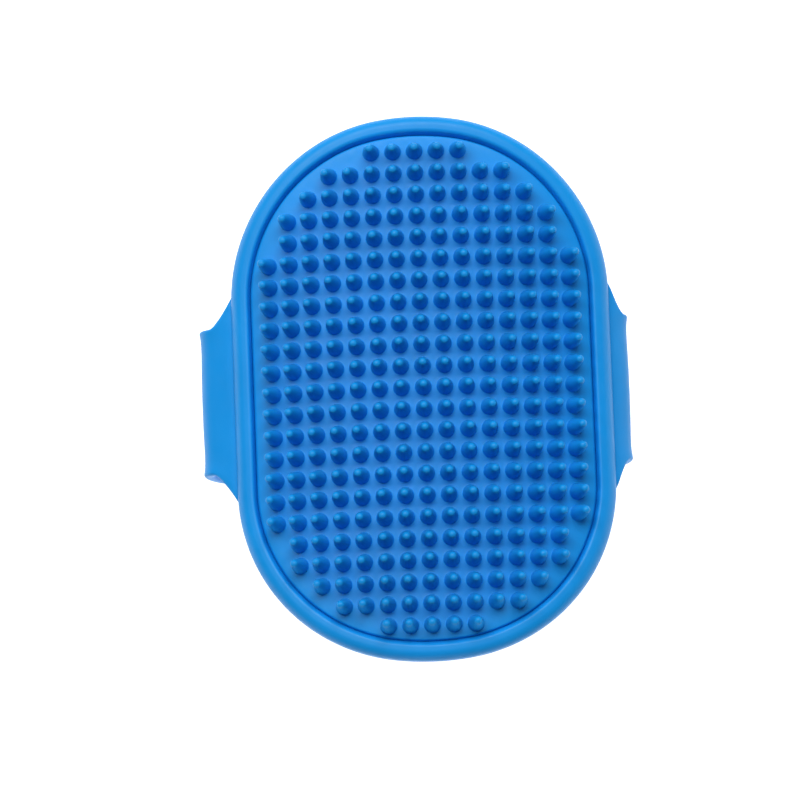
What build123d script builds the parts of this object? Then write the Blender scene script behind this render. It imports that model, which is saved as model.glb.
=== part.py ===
from build123d import *
from math import cos, sin, radians, degrees, sqrt, pi, asin, atan2
import os

# Rubber curry brush with an adjustable hand loop.
# It lies on the crest of its hand loop, pins up. +Z is the way the pins point,
# +Y runs along the oval, +X across it. Origin: bottom centre of the whole
# object. Millimetres.

# ---- overall
body_length = 123.0      # along Y
body_width = 85.0        # across the straight sides
side_half = 21.5         # half length of the straight sides
shoulder_r = 39.8        # the oval's shoulders
end_r = 58.125           # the flatter arc at each end, tangent to the shoulders
centre_x = 1.70          # the body's centre plane: the left loop side bulges more
bow_radius = 120.0       # skin of the pad, bowed about the Y direction
pad_top_z = 39.2         # skin of the pad on the centre line

# ---- rim and backing
rim_width = 4.3
rim_proud = 1.1          # above the pad's skin
backing_t = 2.0
pad_t = 2.2
pad_clear = 0.05         # between the pad and the recess it sits in
rim_outer_round = 2.3
rim_inner_round = 1.2
palm_edge_round = 1.4

# ---- pins
pin_pitch = 4.86         # along Y, and along the bowed skin across it
pin_base_d = 3.6
pin_tip_d = 1.8
pin_height = 6.7
pin_root = 0.4           # how far the cone runs on into the pad
columns_in_row = {11: 2, 10: 4, 9: 5, 8: 6, 7: 6}   # half count by row, 7 elsewhere
rows_each_way = 11
columns_each_way = 7

# ---- hand loop
loop_width = 33.2
root_width = 48.4
hinge_x = 42.65          # living hinge line, from the body's centre plane
hinge_z = 28.5
gap = 0.3                # between pieces that move apart
outer_t = 2.4            # left half, with the holes; it lies outside
inner_t = 2.2            # right half, with the studs; it lies inside
left_bulge = 50.2        # outermost face from the body's centre plane
right_bulge = 46.8
left_bulge_z = 23.0      # height of the outermost point
right_bulge_z = 24.5
left_lean = 62.0         # degrees from vertical where the half leaves the rim
right_lean = 52.0
side_turn = 55.0         # degrees turned on the bend below the outermost point
left_bend_r = 22.9
right_bend_r = 22.9
outer_tip_x = 29.0       # where the left half ends, from the body's centre plane
inner_tip_x = 2.0        # where the right half ends
tip_round = 7.0
left_flare = 5.4         # distance from the hinge line where the root starts to widen
right_flare = 3.4
flare_steps = [(0.80, 0.6), (0.60, 1.7), (0.40, 2.9), (0.20, 4.3), (0.0, 5.8)]   # part of that distance, gain in half width

# ---- closure
hole_x = [20.0, 12.0, 4.0, -4.0, -12.0]
hole_y = 8.0
used_hole_x = 12.0
hole_d = 4.6
pocket_d = 7.8
pocket_deep = 1.4
neck_d = 3.6
head_d = 6.4
head_t = 1.05
foot_d = 8.0
foot_t = 0.8

bow_axis_z = pad_top_z - bow_radius
os.makedirs("parts", exist_ok=True)


shoulder_x = body_width / 2 - shoulder_r     # centre of a shoulder arc
end_y = body_length / 2 - end_r              # centre of an end arc
meet = atan2(side_half - end_y, shoulder_x)  # direction of the point where the two arcs meet


def oval(inset):
    """The outline, straight sides, shoulders and flatter ends, set in from the edge."""
    r1, r2, w = shoulder_r - inset, end_r - inset, body_width / 2 - inset
    join = (r2 * cos(meet), end_y + r2 * sin(meet))
    part_way = (shoulder_x + r1 * cos(meet / 2), side_half + r1 * sin(meet / 2))

    def at(p, sx, sy):
        return (sx * p[0], sy * p[1])

    side, end = (w, side_half), (0, end_y + r2)
    return Face(Wire([
        Line(at(side, 1, -1), side),
        ThreePointArc(side, part_way, join),
        ThreePointArc(join, end, at(join, -1, 1)),
        ThreePointArc(at(join, -1, 1), at(part_way, -1, 1), at(side, -1, 1)),
        Line(at(side, -1, 1), at(side, -1, -1)),
        ThreePointArc(at(side, -1, -1), at(part_way, -1, -1), at(join, -1, -1)),
        ThreePointArc(at(join, -1, -1), at(end, 1, -1), at(join, 1, -1)),
        ThreePointArc(at(join, 1, -1), at(part_way, 1, -1), at(side, 1, -1)),
    ]))


def half_width_through(x, y):
    """Half width of the inset outline that passes through a point."""
    x, y = abs(x), abs(y)
    if y <= side_half:
        return x
    if atan2(y - side_half, x - shoulder_x) < meet:
        return shoulder_x + sqrt((x - shoulder_x) ** 2 + (y - side_half) ** 2)
    return sqrt(x ** 2 + (y - end_y) ** 2) - end_r + body_width / 2


def oval_prism(inset):
    return Pos(0, 0, -5) * extrude(oval(inset), 60)


def bowed(r_in, r_out):
    """A layer between two radii about the bow's axis, which lies along Y."""
    ring = Cylinder(r_out, body_length + 20) - Cylinder(r_in, body_length + 30)
    return Pos(0, 0, bow_axis_z) * Rot(90, 0, 0) * ring


def band(start, lean, steps, t, side):
    """Face in the XZ plane of a strip of thickness t whose middle line starts at
    `start`, heading down and `side`ways out by `lean` degrees from vertical, and
    then follows steps: ("line", length) or ("arc", radius, degrees turned inwards).
    The start is capped with a half round for the hinge."""
    x, z = start
    a = radians(-90 + side * lean) if side > 0 else radians(-90 - lean)
    turn = -1 if side > 0 else 1
    out_pts, in_pts = [], []          # (kind, points) outwards and inwards

    def sides(px, pz, ang):
        nx, nz = -sin(ang), cos(ang)
        h = t / 2
        return (px + nx * h, pz + nz * h), (px - nx * h, pz - nz * h)

    one, two = [], []
    p1, p2 = sides(x, z, a)
    first1, first2 = p1, p2
    for s in steps:
        if s[0] == "line":
            nx_, nz_ = x + s[1] * cos(a), z + s[1] * sin(a)
            q1, q2 = sides(nx_, nz_, a)
            one.append(("line", p1, q1))
            two.append(("line", p2, q2))
            x, z = nx_, nz_
        else:
            r, da = s[1], radians(s[2]) * turn
            sign = 1 if da > 0 else -1
            cx, cz = x - sin(a) * r * sign, z + cos(a) * r * sign
            mid = a + da / 2
            end = a + da

            def at(ang):
                return cx + sin(ang) * r * sign, cz - cos(ang) * r * sign

            m, e = at(mid), at(end)
            m1, m2 = sides(m[0], m[1], mid)
            q1, q2 = sides(e[0], e[1], end)
            one.append(("arc", p1, m1, q1))
            two.append(("arc", p2, m2, q2))
            x, z, a = e[0], e[1], end
        p1, p2 = q1, q2
    edges = []

    def v(p):
        return Vector(p[0], 0, p[1])

    for run in (one, two):
        for s in run:
            if s[0] == "line":
                edges.append(Edge.make_line(v(s[1]), v(s[2])))
            else:
                edges.append(Edge.make_three_point_arc(v(s[1]), v(s[2]), v(s[3])))
    edges.append(Edge.make_line(v(p1), v(p2)))
    sx, sz = start
    a0 = radians(-90 + side * lean) if side > 0 else radians(-90 - lean)
    back = (sx - cos(a0) * t / 2, sz - sin(a0) * t / 2)
    edges.append(Edge.make_three_point_arc(v(first1), v(back), v(first2)))
    return Face(Wire(edges)), (x, z, degrees(a))


def ear_run(lean, dx, dz):
    """Straight length and bend radius that take the strip from the hinge to its
    outermost point, dx out and dz down, turning it upright."""
    s, c = sin(radians(lean)), cos(radians(lean))
    r = (dz - c * dx / s) / (s - c * (1 - c) / s)
    return (dx - r * (1 - c)) / s, r


def loop_half(side, t, bulge, bulge_z, lean, bend_r, crest_z, tip_x, flare_from):
    """One half of the hand loop, side -1 on the left and +1 on the right."""
    mid_bulge = bulge - t / 2
    line, r0 = ear_run(lean, mid_bulge - hinge_x, hinge_z - bulge_z)
    rest = bulge_z - crest_z - bend_r * sin(radians(side_turn))
    left_turn = 90 - side_turn
    r2 = rest / (1 - cos(radians(left_turn)))
    crest_x = mid_bulge - bend_r * (1 - cos(radians(side_turn))) - r2 * sin(radians(left_turn))
    flat = crest_x - tip_x if side > 0 else crest_x + tip_x
    steps = [("line", line), ("arc", r0, lean), ("arc", bend_r, side_turn),
             ("arc", r2, left_turn), ("line", flat)]
    face, end = band((side * hinge_x, hinge_z), lean, steps, t, side)
    print("loop half", side, "ear line %.2f r0 %.2f r2 %.2f crest from %.2f end %s"
          % (line, r0, r2, side * crest_x, end))
    wide = extrude(face, root_width / 2, dir=(0, 1, 0), both=True)
    # the band itself, with its rounded tip
    lo, hi = (-60, tip_x) if side < 0 else (tip_x, 60)
    plan = Pos((lo + hi) / 2, 0) * RectangleRounded(hi - lo, loop_width, tip_round)
    lower = wide & (Pos(0, 0, -1) * extrude(plan, bulge_z + 1))
    # the root, which flares into the side of the rim; its outline lies in the root's own plane
    w0, w1 = root_width / 2, loop_width / 2
    sn, cs = sin(radians(lean)), cos(radians(lean))
    root_plane = Plane(origin=(side * hinge_x, 0, hinge_z), x_dir=(side * sn, 0, -cs), z_dir=(side * cs, 0, sn))
    flare = [(flare_from, w1)] + [(d * flare_from, w1 + w) for d, w in flare_steps] + [(-0.9, w0)]
    plus = Spline(*[(d, w) for d, w in flare], tangents=[(-1, 0), (-0.15, 1)])
    minus = Spline(*[(d, -w) for d, w in flare], tangents=[(-1, 0), (-0.15, -1)])
    outline = Wire([Line((14, -w1), (14, w1)), Line((14, w1), (flare_from, w1)), plus, Line((-0.9, w0), (-3, w0)),
                    Line((-3, w0), (-3, -w0)), Line((-3, -w0), (-0.9, -w0)), minus, Line((flare_from, -w1), (14, -w1))])
    cutter = root_plane * (Pos(0, 0, -20) * extrude(Face(outline), 40))
    upper = wide & cutter & (Pos(0, 0, bulge_z + 20) * Box(200, 200, 40))
    return lower + upper


def edges_at(solid, inset, r):
    """The edges where the oval inset by `inset` meets the bowed surface of radius r."""
    found = []
    for e in solid.edges():
        on = True
        for t in (0.1, 0.5, 0.9):
            p = e @ t
            across = half_width_through(p.X, p.Y)
            up = sqrt(p.X ** 2 + (p.Z - bow_axis_z) ** 2)
            if abs(across - (body_width / 2 - inset)) > 0.01 or abs(up - r) > 0.01:
                on = False
        if on:
            found.append(e)
    return found


# ---- rim and backing
shell_in = bow_radius - pad_t - backing_t
shell_top = bow_radius + rim_proud
rim_body = oval_prism(0) & bowed(shell_in, shell_top)
rim_body -= oval_prism(rim_width) & bowed(bow_radius - pad_t, bow_radius + 20)
rim_body = fillet(edges_at(rim_body, 0, shell_top), rim_outer_round)
rim_body = fillet(edges_at(rim_body, 0, shell_in), palm_edge_round)
rim_body = fillet(edges_at(rim_body, rim_width, shell_top), rim_inner_round)
# the groove along each side that the loop's living hinge turns in
for side, t, lean in ((-1, outer_t, left_lean), (1, inner_t, right_lean)):
    room = t / 2 + gap
    bead = Rot(90, 0, 0) * Cylinder(room, root_width + 2 * gap)
    strip = Pos(0, 0, -4) * Box(2 * room, root_width + 2 * gap, 8)
    rim_body -= Pos(side * hinge_x, 0, hinge_z) * Rot(0, -side * lean, 0) * (bead + strip)
print("rim_body %.0f mm3, %d solid" % (rim_body.volume, len(rim_body.solids())))


# ---- hand loop: the half with the holes on the left, the half with the studs on the right
hole_strap = loop_half(-1, outer_t, left_bulge, left_bulge_z, left_lean, left_bend_r, outer_t / 2, outer_tip_x, left_flare)
stud_strap = loop_half(1, inner_t, right_bulge, right_bulge_z, right_lean, right_bend_r, outer_t + gap + inner_t / 2, inner_tip_x, right_flare)

# holes with a pocket each, so that the stud heads lie below the outer face
cuts = []
for x in hole_x:
    for y in (-hole_y, hole_y):
        cuts.append(Pos(x, y, outer_t / 2) * Cylinder(hole_d / 2, outer_t + 2))
        cuts.append(Pos(x, y, pocket_deep / 2 - 0.5) * Cylinder(pocket_d / 2, pocket_deep + 1))
hole_strap = hole_strap - cuts

# studs: foot in a recess on the hand's side, neck through both halves, domed head in the pocket
inner_top = outer_t + gap + inner_t
studs = []
for y in (-hole_y, hole_y):
    stud_strap -= Pos(used_hole_x, y, inner_top) * Cylinder(neck_d / 2, 2 * inner_t + 2)
    stud_strap -= Pos(used_hole_x, y, inner_top) * Cylinder(foot_d / 2, 2 * foot_t)
    head_top = pocket_deep - 0.2
    rim_z = head_top - 0.4                      # the head's short straight edge
    apex = head_top - head_t
    dome_r = ((head_d / 2) ** 2 + (rim_z - apex) ** 2) / (2 * (rim_z - apex))
    part_way = (head_d / 4, apex + dome_r - sqrt(dome_r ** 2 - (head_d / 4) ** 2))
    half_profile = Wire([
        Line((0, inner_top), (foot_d / 2, inner_top)),
        Line((foot_d / 2, inner_top), (foot_d / 2, inner_top - foot_t)),
        Line((foot_d / 2, inner_top - foot_t), (neck_d / 2, inner_top - foot_t)),
        Line((neck_d / 2, inner_top - foot_t), (neck_d / 2, head_top)),
        Line((neck_d / 2, head_top), (head_d / 2, head_top)),
        Line((head_d / 2, head_top), (head_d / 2, rim_z)),
        ThreePointArc((head_d / 2, rim_z), part_way, (0, apex)),
        Line((0, apex), (0, inner_top)),
    ])
    studs.append(Pos(used_hole_x, y, 0) * revolve(Rot(90, 0, 0) * Face(half_profile), Axis.Z))
closure_studs = studs[0] + studs[1]
print("hole_strap %.0f, stud_strap %.0f, studs %.1f" % (hole_strap.volume, stud_strap.volume, closure_studs.volume))


# ---- pad and pins
pad = oval_prism(rim_width + pad_clear) & bowed(bow_radius - pad_t + pad_clear, bow_radius)
r0, r1 = pin_base_d / 2, pin_tip_d / 2
grow = (r0 - r1) / (pin_height - r1)
profile = Wire([
    Line((0, -pin_root), (r0 + grow * pin_root, -pin_root)),
    Line((r0 + grow * pin_root, -pin_root), (r1, pin_height - r1)),
    ThreePointArc((r1, pin_height - r1), (r1 * sin(radians(45)), pin_height - r1 + r1 * cos(radians(45))), (0, pin_height)),
    Line((0, pin_height), (0, -pin_root)),
])
pin = revolve(Rot(90, 0, 0) * Face(profile), Axis.Z)
pins = []
for row in range(-rows_each_way, rows_each_way + 1):
    half = columns_in_row.get(abs(row), columns_each_way)
    for col in range(-half, half + 1):
        lean = degrees(col * pin_pitch / bow_radius)
        pins.append(Pos(0, row * pin_pitch, bow_axis_z) * Rot(0, lean, 0) * Pos(0, 0, bow_radius) * pin)
pin_pad = pad.fuse(*pins)
print("pins %d, pin_pad %.0f mm3, %d solid" % (len(pins), pin_pad.volume, len(pin_pad.solids())))

# ---- write, with the origin under the middle of the whole object
for name, shape in (("rim_body", rim_body), ("pin_pad", pin_pad), ("hole_strap", hole_strap),
                    ("stud_strap", stud_strap), ("closure_studs", closure_studs)):
    export_step(Pos(centre_x, 0, 0) * shape, "parts/" + name + ".step")
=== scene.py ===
import bpy, bmesh, math
import numpy as np
from mathutils import Vector, Matrix
from mathutils.geometry import delaunay_2d_cdt


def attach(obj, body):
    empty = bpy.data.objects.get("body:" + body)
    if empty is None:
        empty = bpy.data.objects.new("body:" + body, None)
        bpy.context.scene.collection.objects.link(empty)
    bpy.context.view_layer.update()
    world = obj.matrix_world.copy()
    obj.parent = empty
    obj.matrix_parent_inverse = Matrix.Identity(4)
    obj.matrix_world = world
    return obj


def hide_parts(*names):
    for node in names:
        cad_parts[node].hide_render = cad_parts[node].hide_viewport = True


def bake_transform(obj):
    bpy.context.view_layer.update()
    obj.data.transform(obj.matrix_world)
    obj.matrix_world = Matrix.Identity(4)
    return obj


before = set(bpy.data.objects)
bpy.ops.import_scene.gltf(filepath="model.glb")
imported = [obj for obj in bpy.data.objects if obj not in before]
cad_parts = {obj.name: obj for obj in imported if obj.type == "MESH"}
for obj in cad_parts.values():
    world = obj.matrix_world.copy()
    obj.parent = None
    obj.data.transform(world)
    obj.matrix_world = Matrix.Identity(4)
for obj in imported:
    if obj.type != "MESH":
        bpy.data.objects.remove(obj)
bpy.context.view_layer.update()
scene = bpy.context.scene
rng = np.random.default_rng(7)
MM = 0.001

# ------------------------------------------------------------------ the design's sizes, mm, as in the CAD
CX = 1.70                      # the body's centre plane
R = 120.0                      # bow of the pad's skin
AX = 39.2 - R                  # height of the bow's axis
HALF_W = 42.5                  # half width
RIM_W, RIM_UP = 4.3, 1.1
THICK = 4.2                    # skin of the pad to the palm side
PITCH = 4.86
HINGE_X, HINGE_Z = 42.65, 28.5
LOOP_W, ROOT_W = 33.2, 48.4


# ------------------------------------------------------------------ helpers
def bow_plan(x, y, h):
    """A point given in plan, at height h above the pad's skin."""
    z = AX + np.sqrt((R + h) ** 2 - x ** 2)
    return np.stack([x + CX, y, z], -1)


def bow_skin(s, y, h):
    """A point given by its distance along the skin, at height h along the skin's normal."""
    a = s / R
    return np.stack([(R + h) * np.sin(a) + CX, y, AX + (R + h) * np.cos(a)], -1)


def make_object(name, verts, faces, smooth=True, flip_check=True):
    me = bpy.data.meshes.new(name)
    me.from_pydata((np.asarray(verts, float) * MM).tolist(), [], [list(map(int, f)) for f in faces])
    me.validate()
    ob = bpy.data.objects.new(name, me)
    scene.collection.objects.link(ob)
    bm = bmesh.new()
    bm.from_mesh(me)
    bmesh.ops.remove_doubles(bm, verts=bm.verts, dist=2e-6)
    bmesh.ops.dissolve_degenerate(bm, edges=bm.edges, dist=1e-7)
    rims = [e for e in bm.edges if e.is_boundary]
    if rims:
        bmesh.ops.holes_fill(bm, edges=rims, sides=16)
    if flip_check:
        bmesh.ops.recalc_face_normals(bm, faces=bm.faces)
        if bm.calc_volume(signed=True) < 0:
            bmesh.ops.reverse_faces(bm, faces=bm.faces)
    open_edges = sum(1 for e in bm.edges if not e.is_manifold)
    bm.to_mesh(me)
    print(name, "verts", len(bm.verts), "faces", len(bm.faces), "open edges", open_edges)
    bm.free()
    me.polygons.foreach_set("use_smooth", [smooth] * len(me.polygons))
    me.update()
    return ob


class Builder:
    """Collects points and faces."""

    def __init__(self):
        self.points, self.faces, self.n = [], [], 0

    def add(self, pts):
        pts = np.asarray(pts, float).reshape(-1, 3)
        start = self.n
        self.points.append(pts)
        self.n += len(pts)
        return np.arange(start, self.n)

    def strip(self, a, b, closed=True):
        n = len(a)
        for i in range(n if closed else n - 1):
            j = (i + 1) % n
            self.faces.append((a[i], a[j], b[j], b[i]))

    def fan(self, ring, apex):
        n = len(ring)
        for i in range(n):
            self.faces.append((ring[i], ring[(i + 1) % n], apex))

    def verts(self):
        return np.concatenate(self.points)


def arc(cx, cy, r, a0, a1, n):
    """n points of an arc, degrees."""
    return [(cx + r * math.cos(math.radians(a)), cy + r * math.sin(math.radians(a))) for a in np.linspace(a0, a1, n)]


SIDE_HALF, SHOULDER_R, END_R = 21.5, 39.8, 58.125
SHOULDER_X, END_Y = HALF_W - SHOULDER_R, 61.5 - END_R
MEET = math.atan2(SIDE_HALF - END_Y, SHOULDER_X)


def oval_ring(inset, shoulder=62, end=48, side=40):
    """Points of the oval outline set in by `inset`, as (x, y), the same count for every inset."""
    r1, r2, w = SHOULDER_R - inset, END_R - inset, HALF_W - inset
    quarter = [(SHOULDER_X + r1 * math.cos(MEET * i / shoulder), SIDE_HALF + r1 * math.sin(MEET * i / shoulder)) for i in range(shoulder)]
    quarter += [(r2 * math.cos(MEET + (math.pi / 2 - MEET) * i / (end // 2)), END_Y + r2 * math.sin(MEET + (math.pi / 2 - MEET) * i / (end // 2))) for i in range(end // 2)]
    top = quarter + [(0.0, END_Y + r2)] + [(-x, y) for x, y in quarter[:0:-1]]
    left_side = [(-w, SIDE_HALF - 2 * SIDE_HALF * i / side) for i in range(side)]
    half = top + left_side
    return np.array(half + [(-x, -y) for x, y in half], float)


def reach(x, y):
    """Half width of the inset outline that passes through a point."""
    x, y = abs(x), abs(y)
    if y <= SIDE_HALF:
        return x
    if math.atan2(y - SIDE_HALF, x - SHOULDER_X) < MEET:
        return SHOULDER_X + math.hypot(x - SHOULDER_X, y - SIDE_HALF)
    return math.hypot(x, y - END_Y) - END_R + HALF_W


def medial_ring(f, base):
    """Rings that close a surface inwards: `base` ring drawn in towards the middle line by the share f."""
    target = np.stack([np.zeros(len(base)), np.clip(base[:, 1], -SIDE_HALF * 0.9, SIDE_HALF * 0.9)], -1)
    return base * (1 - f) + target * f


def cdt(points, loops, round_holes=(), centres=()):
    """Triangles of the region between closed loops of point indices: the first is the outside, the others are holes.
    round_holes are further loops, each around one of the centres (x, y, radius)."""
    edges = []
    for lp in list(loops) + list(round_holes):
        edges += [(int(lp[i]), int(lp[(i + 1) % len(lp)])) for i in range(len(lp))]
    face_loops = [[int(i) for i in lp] for lp in loops[:1]]
    pts = [Vector((float(p[0]), float(p[1]))) for p in points]
    out = delaunay_2d_cdt(pts, edges, [], 0, 1e-7)
    ov, of = out[0], out[2]
    origin = out[3]
    back = {}
    for i, o in enumerate(origin):
        back[i] = o[0] if o else None
    tris = []
    outer = np.array([points[i] for i in loops[0]])
    holes = [np.array([points[i] for i in lp]) for lp in loops[1:]]
    rounds = [np.array([points[i] for i in lp]) for lp in round_holes]

    def inside(poly, q):
        x, y = q
        c = False
        xs, ys = poly[:, 0], poly[:, 1]
        x2, y2 = np.roll(xs, -1), np.roll(ys, -1)
        cross = ((ys > y) != (y2 > y)) & (x < (x2 - xs) * (y - ys) / np.where(y2 - ys == 0, 1e-12, y2 - ys) + xs)
        return bool(cross.sum() % 2)

    for f in of:
        idx = [back[i] for i in f]
        if any(i is None for i in idx):
            continue
        q = np.mean([points[i] for i in idx], axis=0)
        if not inside(outer, q):
            continue
        if any(inside(h, q) for h in holes):
            continue
        near = [k for k, c in enumerate(centres) if math.hypot(q[0] - c[0], q[1] - c[1]) < c[2]]
        if any(inside(rounds[k], q) for k in near):
            continue
        tris.append(tuple(idx))
    return tris


# ------------------------------------------------------------------ rim and backing
def build_rim():
    b = Builder()
    inner_most = oval_ring(30.0)
    prof = [("in", f, -THICK) for f in (0.93, 0.75, 0.5, 0.25)]
    prof += [(d, -THICK) for d in (30, 26, 22, 18.5, 15, 12, 9, 6.5, 4.5, 3.0, 2.0)]
    prof += arc(1.4, -THICK + 1.4, 1.4, 270, 180, 9)
    prof += [(0, -2.3), (0, -1.75)]
    prof += arc(2.3, RIM_UP - 2.3, 2.3, 180, 90, 17)
    prof += [(2.62, RIM_UP), (2.8, RIM_UP)]
    prof += arc(2.98, RIM_UP - 0.95, 0.95, 88, 26, 10)
    prof += [(4.06, 0.05), (4.18, -0.30), (4.27, -0.54), (4.34, -0.70), (4.38, -0.84), (4.38, -1.3), (4.38, -2.2)]
    prof += [(d, -2.2) for d in (5.5, 8, 12, 17, 22, 26, 30)]
    prof += [("in", f, -2.2) for f in (0.25, 0.5, 0.75, 0.93)]
    rings = []
    for p in prof:
        r = medial_ring(p[1], inner_most) if p[0] == "in" else oval_ring(p[0])
        rings.append(b.add(bow_plan(r[:, 0], r[:, 1], p[-1])))
    for a, c in zip(rings, rings[1:]):
        b.strip(a, c)
    close_slit(b, rings[0], True)
    close_slit(b, rings[-1], False)
    return make_object("rim_rubber", b.verts(), b.faces)


def close_slit(b, ring, flip):
    """Closes the last narrow ring across the middle line with quads."""
    n = len(ring)
    half = n // 2
    k = 0
    # the ring starts on the right side and is symmetric about x = 0: point i mirrors point (half_top - i)
    top = 2 * 62 + 48            # index of the last point of the upper cap, on the left
    pairs = []
    pts = b.verts()[ring]
    order = np.argsort(-pts[:, 1], kind="stable")
    right = [i for i in order if pts[i, 0] > CX + 1e-6]
    left = [i for i in order if pts[i, 0] < CX - 1e-6]
    mid = [i for i in order if abs(pts[i, 0] - CX) <= 1e-6]
    assert len(right) == len(left) and len(mid) == 2, (len(right), len(left), len(mid))
    right.sort(key=lambda i: (i - mid[0]) % n, reverse=True)      # from the top going down on the right
    left.sort(key=lambda i: (i - mid[0]) % n)                     # from the top going down on the left
    b.faces.append((ring[mid[0]], ring[left[0]], ring[right[0]]))
    for a in range(len(right) - 1):
        b.faces.append((ring[right[a]], ring[left[a]], ring[left[a + 1]], ring[right[a + 1]]))
    b.faces.append((ring[left[-1]], ring[mid[1]], ring[right[-1]]))


# ------------------------------------------------------------------ pad and pins
HALF_COLS = {11: 2, 10: 4, 9: 5, 8: 6, 7: 6}
PIN_H, PIN_R0, PIN_R1 = 6.7, 1.8, 0.9


def pin_profile():
    """(r, h) from the tip to the flat pad: a rounded tip, slightly full sides and a small fillet at the foot."""
    grow = (PIN_R0 - PIN_R1) / (PIN_H - PIN_R1)
    lean = math.degrees(math.atan(grow))
    pts = arc(0, PIN_H - PIN_R1, PIN_R1, 90, lean, 11)
    top = pts[-1][1]
    fil = 0.2

    def side(h):
        return PIN_R1 / math.cos(math.radians(lean)) + grow * (PIN_H - PIN_R1 - h) + 0.10 * math.sin(math.pi * min(1, h / top))

    for h in (5.5, 5.0, 4.4, 3.75, 3.1, 2.45, 1.8, 1.2, 0.7, fil + 0.1):
        pts.append((side(h), h))
    cx = side(fil) + fil + 0.01
    pts += arc(cx, fil, fil, 182, 268, 6)
    return [(r, max(h, 0)) for r, h in pts]


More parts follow.
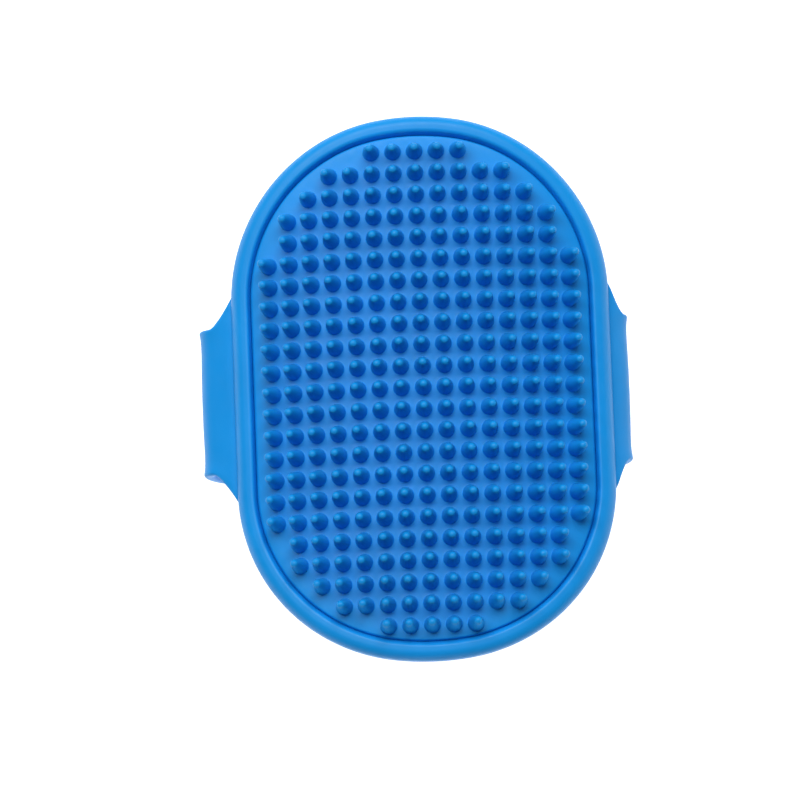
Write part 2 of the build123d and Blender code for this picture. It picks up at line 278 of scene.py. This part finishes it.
def build_pad():
    b = Builder()
    flat = []            # (s, y, h) of every point, mapped at the end
    per = 8
    side = np.linspace(-1, 1, per + 1)[:-1]
    sq = [(t, -1) for t in side] + [(1, t) for t in side] + [(-t, 1) for t in side] + [(-1, -t) for t in side]
    sq = np.array(sq) * PITCH / 2
    ang = np.arctan2(sq[:, 1], sq[:, 0])
    unit = np.stack([np.cos(ang), np.sin(ang)], -1)
    prof = pin_profile()
    pts, faces = [], []
    cells = {}
    grid = {(c, r) for r in range(-11, 12) for c in range(-HALF_COLS.get(abs(r), 7), HALF_COLS.get(abs(r), 7) + 1)}
    outermost = {(c, r) for c, r in grid if any((c + i, r + j) not in grid for i in (-1, 0, 1) for j in (-1, 0, 1))}
    foot_r = 2.1
    foot_rings = {}

    def add(arr):
        start = sum(len(p) for p in pts) if not pts else add.n
        pts.append(arr)
        add.n = start + len(arr)
        return np.arange(start, add.n)
    add.n = 0

    for row in range(-11, 12):
        half = HALF_COLS.get(abs(row), 7)
        for col in range(-half, half + 1):
            s0, y0 = col * PITCH, row * PITCH
            lean = rng.normal(0, 0.006, 2)              # pins are never quite straight
            grow = 1 - abs(rng.normal(0, 0.006))
            ring_prev = None
            tip = add(np.array([[s0 + lean[0] * PIN_H, y0 + lean[1] * PIN_H, PIN_H * grow]]))[0]
            for k, (r, h) in enumerate(prof[1:]):
                hh = h * grow
                off = lean * hh
                ring = add(np.concatenate([unit * r + [s0 + off[0], y0 + off[1]], np.full((len(unit), 1), hh)], 1))
                if ring_prev is None:
                    for i in range(len(ring)):
                        faces.append((tip, ring[i], ring[(i + 1) % len(ring)]))
                else:
                    for i in range(len(ring)):
                        j = (i + 1) % len(ring)
                        faces.append((ring_prev[i], ring[i], ring[j], ring_prev[j]))
                ring_prev = ring
            shape = unit * foot_r if (col, row) in outermost else sq
            edge = add(np.concatenate([shape + [s0, y0], np.zeros((len(sq), 1))], 1))
            for i in range(len(edge)):
                j = (i + 1) % len(edge)
                faces.append((ring_prev[i], edge[i], edge[j], ring_prev[j]))
            if (col, row) in outermost:
                foot_rings[(col, row)] = edge
            else:
                cells[(col, row)] = edge
    # the border, from the outer cells to the crease
    allp = np.concatenate(pts)
    key = {}
    loop_edges = {}
    for edge in cells.values():
        k = len(edge)
        for i in range(k):
            p, q = allp[edge[i]], allp[edge[(i + 1) % k]]
            a = (round(p[0] * 1000), round(p[1] * 1000)); c = (round(q[0] * 1000), round(q[1] * 1000))
            key.setdefault(a, edge[i]); key.setdefault(c, edge[(i + 1) % k])
            if (c, a) in loop_edges:
                del loop_edges[(c, a)]
            else:
                loop_edges[(a, c)] = True
    nxt = {a: c for a, c in loop_edges}
    start = next(iter(nxt)); loop = [start]; cur = nxt[start]
    while cur != start:
        loop.append(cur); cur = nxt[cur]
    inner_idx = [key[k] for k in loop]
    # rounded edge of the pad, next to the crease: in plan, then turned into distance along the skin
    rings2 = []
    for d, h in ((4.97, 0.0), (4.86, -0.02), (4.75, -0.07), (4.65, -0.17), (4.56, -0.32), (4.49, -0.5), (4.45, -0.68), (4.43, -0.85), (4.43, -2.2)):
        r = oval_ring(d)
        s = R * np.arcsin(r[:, 0] / (R + h))
        rings2.append(add(np.stack([s, r[:, 1], np.full(len(r), h)], -1)))
    for a, c in zip(rings2, rings2[1:]):
        for i in range(len(a)):
            j = (i + 1) % len(a)
            faces.append((a[i], c[i], c[j], a[j]))
    allp = np.concatenate(pts)
    outer = rings2[0]
    # extra points in the border
    extra = []
    op = allp[outer][:, :2]
    ip = allp[inner_idx][:, :2]
    feet = np.array([(c * PITCH, r * PITCH) for c, r in foot_rings])
    want = [((c + 0.5) * PITCH, (r + 0.5) * PITCH) for c in range(-9, 9) for r in range(-13, 13)]
    want += [(x, y) for x in np.arange(-40, 40.1, 1.6) for y in np.arange(-58, 58.1, 1.6)]
    for x, y in want:
        q = np.array([x, y])
        do = np.min(np.hypot(*(op - q).T)); di = np.min(np.hypot(*(ip - q).T)); df = np.min(np.hypot(*(feet - q).T))
        if do < 0.6 or di < 0.6 or df < foot_r + 0.6 or reach(x, y) > HALF_W - 5.4:
            continue
        if extra and np.min(np.hypot(*(np.array(extra)[:, :2] - q).T)) < 0.9:
            continue
        c, r = round(x / PITCH), round(y / PITCH)
        if (c, r) in cells:
            continue
        extra.append((x, y, 0.0))
    ex = add(np.array(extra)) if extra else np.array([], int)
    allp = np.concatenate(pts)
    use = list(outer) + list(inner_idx) + [g for lp in foot_rings.values() for g in lp] + list(ex)
    local = {g: i for i, g in enumerate(use)}
    p2 = allp[use][:, :2]
    tris = cdt(p2, [[local[g] for g in outer], [local[g] for g in inner_idx]],
               [[local[g] for g in lp] for lp in foot_rings.values()], [(x, y, foot_r) for x, y in feet])
    faces += [tuple(use[i] for i in t) for t in tris]
    # underside
    low = rings2[-1]
    prev = low
    for d in (8, 13, 19, 25, 30, "a", "b", "c", "d"):
        r = medial_ring({"a": 0.25, "b": 0.5, "c": 0.75, "d": 0.93}[d], oval_ring(30.0)) if isinstance(d, str) else oval_ring(d)
        s = R * np.arcsin(r[:, 0] / (R - 2.2))
        ring = add(np.stack([s, r[:, 1], np.full(len(r), -2.2)], -1))
        for i in range(len(ring)):
            j = (i + 1) % len(ring)
            faces.append((prev[i], ring[i], ring[j], prev[j]))
        prev = ring
    allp = np.concatenate(pts)
    v = bow_skin(allp[:, 0], allp[:, 1], allp[:, 2])
    b.add(v)
    b.faces = list(faces)
    close_slit(b, prev, True)
    return make_object("pad_rubber", b.verts(), b.faces)


# ------------------------------------------------------------------ the hand loop
class Path:
    """The middle line of a loop half in the XZ plane, by distance from the hinge, as in the CAD."""

    def __init__(self, side, t, bulge, bulge_z, lean, bend_r, crest_z, tip_x):
        self.side, self.t, self.bulge_z = side, t, bulge_z
        mid = bulge - t / 2
        s, c = math.sin(math.radians(lean)), math.cos(math.radians(lean))
        dx, dz = mid - HINGE_X, HINGE_Z - bulge_z
        r0 = (dz - c * dx / s) / (s - c * (1 - c) / s)
        line = (dx - r0 * (1 - c)) / s
        turn = 55.0
        r2 = (bulge_z - crest_z - bend_r * math.sin(math.radians(turn))) / (1 - math.cos(math.radians(90 - turn)))
        crest_x = mid - bend_r * (1 - math.cos(math.radians(turn))) - r2 * math.sin(math.radians(90 - turn))
        flat = crest_x - tip_x if side > 0 else crest_x + tip_x
        self.steps = [("line", line), ("arc", r0, lean), ("arc", bend_r, turn), ("arc", r2, 90 - turn), ("line", flat)]
        self.lean = math.radians(lean)
        self.bulge_u = line + r0 * math.radians(lean)
        self.length = line + sum(math.radians(a[2]) * a[1] for a in self.steps[1:4]) + flat
        self.flat_from = self.length - flat
        self.crest_x = crest_x

    def at(self, u):
        """x (outwards positive), z, and the direction's angle from straight down, turning inwards, for each u."""
        u = np.asarray(u, float)
        x = np.full_like(u, HINGE_X); z = np.full_like(u, HINGE_Z); a = np.full_like(u, -self.lean)
        left = u.copy()
        px, pz, pa = HINGE_X, HINGE_Z, -self.lean      # angle a: direction = (-sin a outwards..., -cos a)
        done = 0.0
        for i, st in enumerate(self.steps):
            ln = st[1] if st[0] == "line" else math.radians(st[2]) * st[1]
            last = i == len(self.steps) - 1
            here = (u >= done) | (i == 0)
            d = np.clip(u - done, None if i == 0 else 0, None if last else ln)
            if st[0] == "line":
                nx, nz, na = px - np.sin(pa) * d, pz - np.cos(pa) * d, np.full_like(u, pa)
                ex, ez, ea = px - math.sin(pa) * ln, pz - math.cos(pa) * ln, pa
            else:
                r = st[1]
                na = pa + d / r
                nx = px + r * (np.cos(na) - math.cos(pa)) 
                nz = pz - r * (np.sin(na) - math.sin(pa))
                ea = pa + ln / r
                ex = px + r * (math.cos(ea) - math.cos(pa)); ez = pz - r * (math.sin(ea) - math.sin(pa))
            x = np.where(here, nx, x); z = np.where(here, nz, z); a = np.where(here, na, a)
            px, pz, pa = ex, ez, ea
            done += ln
        return x, z, a

    def place(self, u, v, h):
        """3-D point at distance u, across v, and h outwards from the middle line."""
        x, z, a = self.at(u)
        ox, oz = np.cos(a), -np.sin(a)                 # outward normal
        return np.stack([self.side * (x + ox * h) + CX, v, z + oz * h], -1)

    def u_of_x(self, x):
        """Distance along the flat crest for a plan x from the body's centre plane."""
        return self.flat_from + (self.crest_x - self.side * x)


def smooth(t):
    t = np.clip(t, 0, 1)
    return t * t * (3 - 2 * t)


def build_half(name, path, features, root_u, flare_from, edge_r=0.75):
    """A loop half: rounded edges, flared root, rounded tip. features: list of (u, v, profile) with
    profile (r, h) from the outer face's ring to the inner face's ring, h outwards."""
    t = path.t
    w1 = LOOP_W / 2

    def half_width(u):
        steps = [(1.0, 0.0), (0.9, 0.22), (0.8, 0.6), (0.7, 1.12), (0.6, 1.7), (0.5, 2.28), (0.4, 2.9), (0.3, 3.58), (0.2, 4.3), (0.1, 5.05), (0.0, 5.8)]
        uu = [-2.4, -0.9] + [f * flare_from for f, _ in steps[::-1]]
        ww = [7.7, 7.6] + [g for _, g in steps[::-1]]
        return w1 + np.interp(u, uu, ww)

    # outline, counter-clockwise from the root's corner
    us = np.concatenate([np.linspace(root_u, 6, 43), np.linspace(6, path.length - 7, int((path.length - 13) / 0.9))[1:]])
    hw = half_width(us)
    # a light smoothing of the flare
    for _ in range(3):
        hw[1:-1] = (hw[:-2] + hw[1:-1] * 2 + hw[2:]) / 4
    tip = arc(path.length - 7, w1 - 7, 7, 90, 0, 14)
    plus = list(zip(us, hw)) + tip[1:]
    across = np.linspace(w1 - 7, -(w1 - 7), 18)[1:-1]
    end = [(path.length, v) for v in across]
    minus = [(u, -v) for u, v in reversed(plus)]
    root = [(root_u, v) for v in np.linspace(-hw[0], hw[0], 46)[1:-1]]
    out = np.array(plus + end + minus + root, float)     # clockwise or not doesn't matter
    nxt, prv = np.roll(out, -1, 0), np.roll(out, 1, 0)
    tan = nxt - prv
    nrm = np.stack([tan[:, 1], -tan[:, 0]], -1)
    nrm /= np.linalg.norm(nrm, axis=1)[:, None]
    centre = np.array([path.length / 2, 0])
    area = 0.5 * np.sum(out[:, 0] * nxt[:, 1] - nxt[:, 0] * out[:, 1])
    if area > 0:
        nrm = -nrm
    # nrm points inwards
    inner = out + nrm * edge_r
    pts2 = [inner]
    n_in = len(inner)
    loops = [list(range(n_in))]
    count = n_in
    rings = []
    for (fu, fv, prof) in features:
        seg = 44
        r0 = prof[0][0] if prof[0][0] > prof[-1][0] else prof[-1][0]
        r0 = max(prof[0][0], prof[-1][0])
        ring = np.array([(fu + r0 * math.cos(2 * math.pi * k / seg), fv + r0 * math.sin(2 * math.pi * k / seg)) for k in range(seg)])
        pts2.append(ring)
        loops.append(list(range(count, count + seg)))
        rings.append((count, seg, r0))
        count += seg
    gu = np.arange(root_u + 1.0, path.length - 0.9, 1.05)
    gv = np.arange(-ROOT_W / 2, ROOT_W / 2 + 0.01, ROOT_W / 44)
    G = np.array([(a, c) for a in gu for c in gv])
    keep = np.ones(len(G), bool)
    for poly in [inner]:
        d = np.min(np.hypot(G[:, None, 0] - poly[None, :, 0], G[:, None, 1] - poly[None, :, 1]), axis=1)
        keep &= d > 0.55
    lim = np.interp(G[:, 0], us, hw) - edge_r
    keep &= np.abs(G[:, 1]) < lim - 0.3
    near_tip = G[:, 0] > path.length - 7
    corner = np.hypot(np.maximum(G[:, 0] - (path.length - 7), 0), np.maximum(np.abs(G[:, 1]) - (w1 - 7), 0))
    keep &= ~(near_tip & (corner > 7 - edge_r - 0.3))
    for (fu, fv, prof), (c0, seg, r0) in zip(features, rings):
        keep &= np.hypot(G[:, 0] - fu, G[:, 1] - fv) > r0 + 0.5
    G = G[keep]
    pts2.append(G)
    P2 = np.concatenate(pts2)
    tris = cdt(P2, loops)

    def crown(u, v):
        """How the bent rubber leaves a plain strip: its edges curl out at the bend, its middle stands a little proud."""
        bend = np.exp(-((u - path.bulge_u - 1.0) / 7.5) ** 2)
        lip = np.exp(-(((w1 - np.abs(v)) / 1.5).clip(0) ** 1.4))
        mid = np.clip(1 - (v / 11.0) ** 2, 0, 1)
        return bend * (-0.40 + 0.40 * lip + 0.16 * mid)

    def dip(u):
        """The root sinks into the rim's side, which leaves the fold line."""
        return -0.35 * smooth((0.15 - u) / 1.2)

    b = Builder()

    def lay(p2, h, root_dip=True):
        u, v = p2[:, 0], p2[:, 1]
        hh = h + crown(u, v)
        if root_dip:
            hh = hh + dip(u) * (1 if h > 0 else -0.6)
        return b.add(path.place(u, v, hh))

    top = lay(P2, t / 2)
    bot = lay(P2, -t / 2)
    for tr in tris:
        b.faces.append(tuple(top[i] for i in tr))
        b.faces.append(tuple(bot[i] for i in reversed(tr)))
    # rounded edge
    prev = top[:n_in]
    for ang in (75, 60, 45, 30, 15, 0):
        ins = edge_r * (1 - math.cos(math.radians(ang)))
        ins = edge_r - edge_r * math.cos(math.radians(ang))
        hh = t / 2 - edge_r + edge_r * math.sin(math.radians(ang))
        ring = lay(out + nrm * ins, hh)
        b.strip(prev, ring); prev = ring
    for ang in (0, 15, 30, 45, 60, 75):
        ins = edge_r - edge_r * math.cos(math.radians(ang))
        hh = -(t / 2 - edge_r + edge_r * math.sin(math.radians(ang)))
        ring = lay(out + nrm * ins, hh)
        b.strip(prev, ring); prev = ring
    b.strip(prev, bot[:n_in])
    # holes and pockets
    for (fu, fv, prof), (c0, seg, r0) in zip(features, rings):
        prev = top[c0:c0 + seg]
        for r, h in prof[1:-1]:
            p2 = np.array([(fu + r * math.cos(2 * math.pi * k / seg), fv + r * math.sin(2 * math.pi * k / seg)) for k in range(seg)])
            ring = lay(p2, h, False)
            b.strip(prev, ring); prev = ring
        b.strip(prev, bot[c0:c0 + seg])
    return make_object(name, b.verts(), b.faces)


# ------------------------------------------------------------------ build everything
rim = build_rim()
pad = build_pad()

OUT_T, IN_T, GAP = 2.4, 2.2, 0.3
left = Path(-1, OUT_T, 50.2, 23.0, 62.0, 22.9, OUT_T / 2, 29.0)
right = Path(1, IN_T, 46.8, 24.5, 52.0, 22.9, OUT_T + GAP + IN_T / 2, 2.0)
HOLE_X = [20.0, 12.0, 4.0, -4.0, -12.0]
USED_X, HOLE_Y = 12.0, 8.0
POCKET_R, HOLE_R, POCKET_DEEP = 3.9, 2.3, 1.4
o = OUT_T / 2
pocket = [(POCKET_R + 0.06, o)] + [(POCKET_R + 0.06 - 0.06 * math.sin(a), o - 0.06 + 0.06 * math.cos(a)) for a in np.radians([30, 60, 90])]
pocket += [(POCKET_R, o - POCKET_DEEP + 0.3)] + [(POCKET_R - 0.3 + 0.3 * math.cos(a), o - POCKET_DEEP + 0.3 - 0.3 * math.sin(a)) for a in np.radians([30, 60, 90])]
pocket += [(HOLE_R + 0.2, o - POCKET_DEEP)] + [(HOLE_R + 0.2 - 0.2 * math.sin(a), o - POCKET_DEEP - 0.2 + 0.2 * math.cos(a)) for a in np.radians([45, 90])]
pocket += [(HOLE_R, -o + 0.25)] + [(HOLE_R + 0.25 - 0.25 * math.cos(a), -o + 0.25 - 0.25 * math.sin(a)) for a in np.radians([30, 60, 90])]
pocket += [(POCKET_R + 0.06, -o)]
feats = [(left.u_of_x(x), y, pocket) for x in HOLE_X for y in (-HOLE_Y, HOLE_Y)]
left_ob = build_half("left_strap_rubber", left, feats, -2.4, 5.4)
i_ = IN_T / 2
seat = [(4.25, i_), (2.1, i_), (1.85, i_ - 0.2), (1.8, i_ - 0.4), (1.8, -i_ + 0.8), (3.9, -i_ + 0.8), (4.0, -i_ + 0.75), (4.0, -i_ + 0.2), (4.06, -i_ + 0.06), (4.25, -i_)]
feats = [(right.u_of_x(USED_X), y, seat) for y in (-HOLE_Y, HOLE_Y)]
right_ob = build_half("right_strap_rubber", right, feats, -2.4, 3.4)


def build_studs():
    b = Builder()
    seg = 56
    top = OUT_T + GAP + IN_T
    head_top, apex = POCKET_DEEP - 0.2, 0.15
    prof = [(0.0, top - 0.02)] + [(r, top - 0.02) for r in (1.2, 2.4, 3.4)] + [(3.72 + 0.2 * math.sin(a), top - 0.22 + 0.2 * math.cos(a)) for a in np.radians([15, 40, 65, 90])]
    prof += [(3.95, top - 0.75), (3.9, top - 0.8), (1.9, top - 0.8), (1.8, top - 0.9), (1.8, head_top + 0.35)]
    prof += [(1.8 + 0.3 - 0.3 * math.cos(a), head_top + 0.3 - 0.3 * math.sin(a)) for a in np.radians([30, 60, 90])]
    prof += [(2.98, head_top)] + [(2.98 + 0.22 * math.sin(a), head_top - 0.22 + 0.22 * math.cos(a)) for a in np.radians([30, 60, 90, 120, 150])]
    edge_r, edge_z = prof[-1]
    for k in range(1, 9):
        f = k / 8
        r = edge_r * (1 - f)
        z = apex + (edge_z - apex) * (r / edge_r) ** 2
        prof.append((r, z))
    for y in (-HOLE_Y, HOLE_Y):
        prev = None
        for r, z in prof:
            if r < 1e-6:
                ap = b.add([[USED_X + CX, y, z]])[0]
                if prev is None:
                    first = ap; prev = "tip"
                else:
                    b.fan(prev, ap)
                continue
            ring = b.add(np.stack([USED_X + CX + r * np.cos(np.arange(seg) * 2 * np.pi / seg), y + r * np.sin(np.arange(seg) * 2 * np.pi / seg), np.full(seg, z)], -1))
            if isinstance(prev, str):
                b.fan(ring, first)
            else:
                b.strip(prev, ring)
            prev = ring
    return make_object("stud_rubber", b.verts(), b.faces)


studs = build_studs()


# ------------------------------------------------------------------ material
def rubber(name, base, rough=0.42, grain=0.35, grain_scale=2600.0, sheen=0.0, tint=(0.02, 0.20, 0.62)):
    m = bpy.data.materials.new(name)
    m.use_nodes = True
    nt = m.node_tree
    for n in list(nt.nodes):
        nt.nodes.remove(n)
    out = nt.nodes.new("ShaderNodeOutputMaterial")
    p = nt.nodes.new("ShaderNodeBsdfPrincipled")
    nt.links.new(p.outputs["BSDF"], out.inputs["Surface"])
    tc = nt.nodes.new("ShaderNodeTexCoord")
    # slow colour variation of moulded rubber
    n1 = nt.nodes.new("ShaderNodeTexNoise"); n1.inputs["Scale"].default_value = 55.0; n1.inputs["Detail"].default_value = 3.0
    n1.inputs["Roughness"].default_value = 0.55
    nt.links.new(tc.outputs["Object"], n1.inputs["Vector"])
    ramp = nt.nodes.new("ShaderNodeValToRGB")
    c0 = tuple(c * 0.955 for c in base) + (1,)
    c1 = tuple(min(1, c * 1.035) for c in base) + (1,)
    ramp.color_ramp.elements[0].position = 0.32; ramp.color_ramp.elements[0].color = c0
    ramp.color_ramp.elements[1].position = 0.68; ramp.color_ramp.elements[1].color = c1
    nt.links.new(n1.outputs["Fac"], ramp.inputs["Fac"])
    nt.links.new(ramp.outputs["Color"], p.inputs["Base Color"])
    # roughness
    n2 = nt.nodes.new("ShaderNodeTexNoise"); n2.inputs["Scale"].default_value = 420.0; n2.inputs["Detail"].default_value = 4.0
    nt.links.new(tc.outputs["Object"], n2.inputs["Vector"])
    mr = nt.nodes.new("ShaderNodeMapRange")
    mr.inputs["From Min"].default_value = 0.3; mr.inputs["From Max"].default_value = 0.7
    mr.inputs["To Min"].default_value = rough - 0.05; mr.inputs["To Max"].default_value = rough + 0.07
    nt.links.new(n2.outputs["Fac"], mr.inputs["Value"])
    nt.links.new(mr.outputs["Result"], p.inputs["Roughness"])
    # fine grain of the mould
    n3 = nt.nodes.new("ShaderNodeTexNoise"); n3.inputs["Scale"].default_value = grain_scale; n3.inputs["Detail"].default_value = 2.0
    nt.links.new(tc.outputs["Object"], n3.inputs["Vector"])
    bump = nt.nodes.new("ShaderNodeBump"); bump.inputs["Strength"].default_value = grain; bump.inputs["Distance"].default_value = 0.00004
    nt.links.new(n3.outputs["Fac"], bump.inputs["Height"])
    n4 = nt.nodes.new("ShaderNodeTexNoise"); n4.inputs["Scale"].default_value = 160.0; n4.inputs["Detail"].default_value = 2.0
    nt.links.new(tc.outputs["Object"], n4.inputs["Vector"])
    bump2 = nt.nodes.new("ShaderNodeBump"); bump2.inputs["Strength"].default_value = 0.25; bump2.inputs["Distance"].default_value = 0.0002
    nt.links.new(n4.outputs["Fac"], bump2.inputs["Height"])
    nt.links.new(bump.outputs["Normal"], bump2.inputs["Normal"])
    nt.links.new(bump2.outputs["Normal"], p.inputs["Normal"])
    p.inputs["IOR"].default_value = 1.46
    p.inputs["Specular IOR Level"].default_value = 0.3
    p.inputs["Specular Tint"].default_value = (0.78, 0.93, 1.0, 1)
    p.inputs["Sheen Weight"].default_value = sheen
    p.inputs["Sheen Roughness"].default_value = 0.35
    p.inputs["Subsurface Weight"].default_value = 0.0
    return m


BASE = (0.006, 0.276, 0.728)
mat_pad = rubber("pad_rubber_blue", BASE, rough=0.40, grain=0.35)
mat_rim = rubber("rim_rubber_blue", BASE, rough=0.38, grain=0.3)
mat_strap = rubber("strap_rubber_blue", BASE, rough=0.42, grain=0.3)
mat_stud = rubber("stud_rubber_blue", tuple(c * 0.93 for c in BASE), rough=0.34, grain=0.2)
for ob, m in ((rim, mat_rim), (pad, mat_pad), (left_ob, mat_strap), (right_ob, mat_strap), (studs, mat_stud)):
    ob.data.materials.clear(); ob.data.materials.append(m)
for n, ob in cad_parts.items():
    m = {"rim_body": mat_rim, "pin_pad": mat_pad, "closure_studs": mat_stud}.get(n, mat_strap)
    if not ob.data.materials:
        ob.data.materials.append(m)
    for i in range(len(ob.material_slots)):
        ob.material_slots[i].material = m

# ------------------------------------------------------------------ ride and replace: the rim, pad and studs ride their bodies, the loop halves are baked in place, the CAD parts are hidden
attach(rim, "brush"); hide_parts("rim_body")
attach(pad, "brush"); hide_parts("pin_pad")
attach(studs, "right_half"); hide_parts("closure_studs")
for ob, body, node, side in ((left_ob, "left_half", "hole_strap", -1), (right_ob, "right_half", "stud_strap", 1)):
    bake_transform(ob)
    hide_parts(node)

# ------------------------------------------------------------------ stage, light, camera
floor_me = bpy.data.meshes.new("floor")
s = 3.0
floor_me.from_pydata([(-s, -s, 0), (s, -s, 0), (s, s, 0), (-s, s, 0)], [], [(0, 1, 2, 3)])
floor = bpy.data.objects.new("floor", floor_me)
scene.collection.objects.link(floor)
fm = bpy.data.materials.new("pale_floor"); fm.use_nodes = True
fp = fm.node_tree.nodes["Principled BSDF"]
fp.inputs["Base Color"].default_value = (0.45, 0.45, 0.45, 1)
fp.inputs["Roughness"].default_value = 0.85
fp.inputs["Specular IOR Level"].default_value = 0.2
fp.inputs["Emission Color"].default_value = (1, 1, 1, 1)
fp.inputs["Emission Strength"].default_value = 1.15
floor.data.materials.append(fm)

world = bpy.data.worlds.new("studio"); scene.world = world
world.use_nodes = True
bg = world.node_tree.nodes["Background"]
bg.inputs["Color"].default_value = (1.0, 1.0, 1.0, 1)
bg.inputs["Strength"].default_value = 0.035


def area(name, loc, target, size, power, size_y=None, colour=(1, 1, 1)):
    li = bpy.data.lights.new(name, "AREA")
    li.energy = power; li.color = colour
    li.shape = "RECTANGLE"; li.size = size; li.size_y = size_y or size
    ob = bpy.data.objects.new(name, li)
    scene.collection.objects.link(ob)
    ob.location = loc
    d = Vector(target) - Vector(loc)
    ob.rotation_euler = d.to_track_quat("-Z", "Y").to_euler()
    return ob


area("key", (-0.24, 1.05, 2.0), (0, 0, 0.03), 2.5, 63.0, size_y=1.3)
area("sky", (-0.2, 0.2, 2.3), (-0.2, 0.2, 0.0), 3.0, 5.0)
area("card_right", (2.1, 0.1, 0.50), (0, 0, 0.03), 0.9, 4.0)
area("card_front", (0.1, -2.1, 0.40), (0, 0, 0.03), 0.7, 4.0)

TILT, DIST, ROLL = 7.6, 1600.0, 2.2
px = 0.2240
tgt = Vector(((CX - 23.7 * px) * MM, (-10.5 * px) * MM, 0.036))
el = math.radians(90 - TILT)
cam_dir = Vector((0, -math.cos(el), math.sin(el)))
cam_data = bpy.data.cameras.new("camera")
cam_data.sensor_width = 36
cam_data.lens = 36 * DIST / (800 * px)
cam_data.clip_start = 0.05; cam_data.clip_end = 20
cam = bpy.data.objects.new("camera", cam_data)
scene.collection.objects.link(cam)
rot = (-cam_dir).to_track_quat("-Z", "Y").to_matrix() @ Matrix.Rotation(math.radians(-ROLL), 3, "Z")
cam.matrix_world = Matrix.Translation(tgt + cam_dir * DIST * MM) @ rot.to_4x4()
scene.camera = cam
scene.view_settings.view_transform = "Standard"
scene.view_settings.look = "None"
scene.view_settings.exposure = 0.0
scene.view_settings.gamma = 1.0
